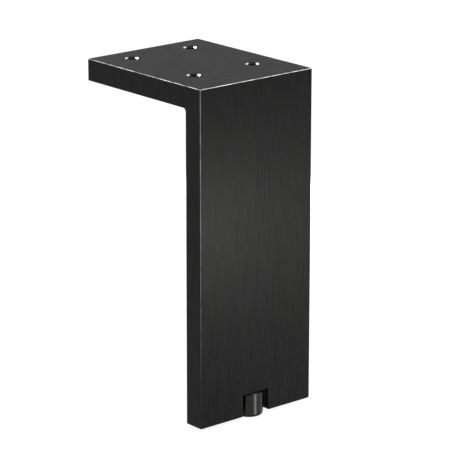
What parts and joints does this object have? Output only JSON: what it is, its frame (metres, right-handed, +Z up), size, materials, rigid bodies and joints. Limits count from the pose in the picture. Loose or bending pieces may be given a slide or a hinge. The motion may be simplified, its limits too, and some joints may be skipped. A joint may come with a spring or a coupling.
{
  "type": "adjustable furniture leg",
  "caption": "L-shaped brushed metal furniture leg with a screw flange on top and a height-adjustable levelling foot in a notch at the lower edge.",
  "frame": {"origin": "centre of the four screw holes, on the flange's upper face, which bears on the furniture", "axes": "+Z up into the furniture, -Y towards the plate's outer front face, +X along the leg's width, to the right seen from the front"},
  "size_m": [0.08, 0.0996, 0.1933],
  "materials": {
    "black_aluminium": "brushed, black anodised",
    "black_plated_steel": "turned, glossy black plated",
    "zinc_plated_steel": "zinc plated thread",
    "black_plastic": "matte"
  },
  "bodies": {
    "leg": {"leg_bracket": "black_aluminium"},
    "glide": {"glide_pad": "black_plastic"},
    "screw": {"foot_body": "black_plated_steel", "foot_stud": "zinc_plated_steel"}
  },
  "joints": [
    {"name": "foot_travel", "type": "slide", "parent": "leg", "child": "glide", "axis": [0, 0, -1], "range_m": [0, 0.01]},
    {"name": "foot_turn", "type": "hinge", "parent": "glide", "child": "screw", "pos_m": [0, -0.049, -0.1858], "axis": [0, 0, -1], "range_deg": [0, 2880]}
  ],
  "couplings": [
    {"joint": "foot_turn", "follows": "foot_travel", "rad_per_m": 5026.5}
  ]
}
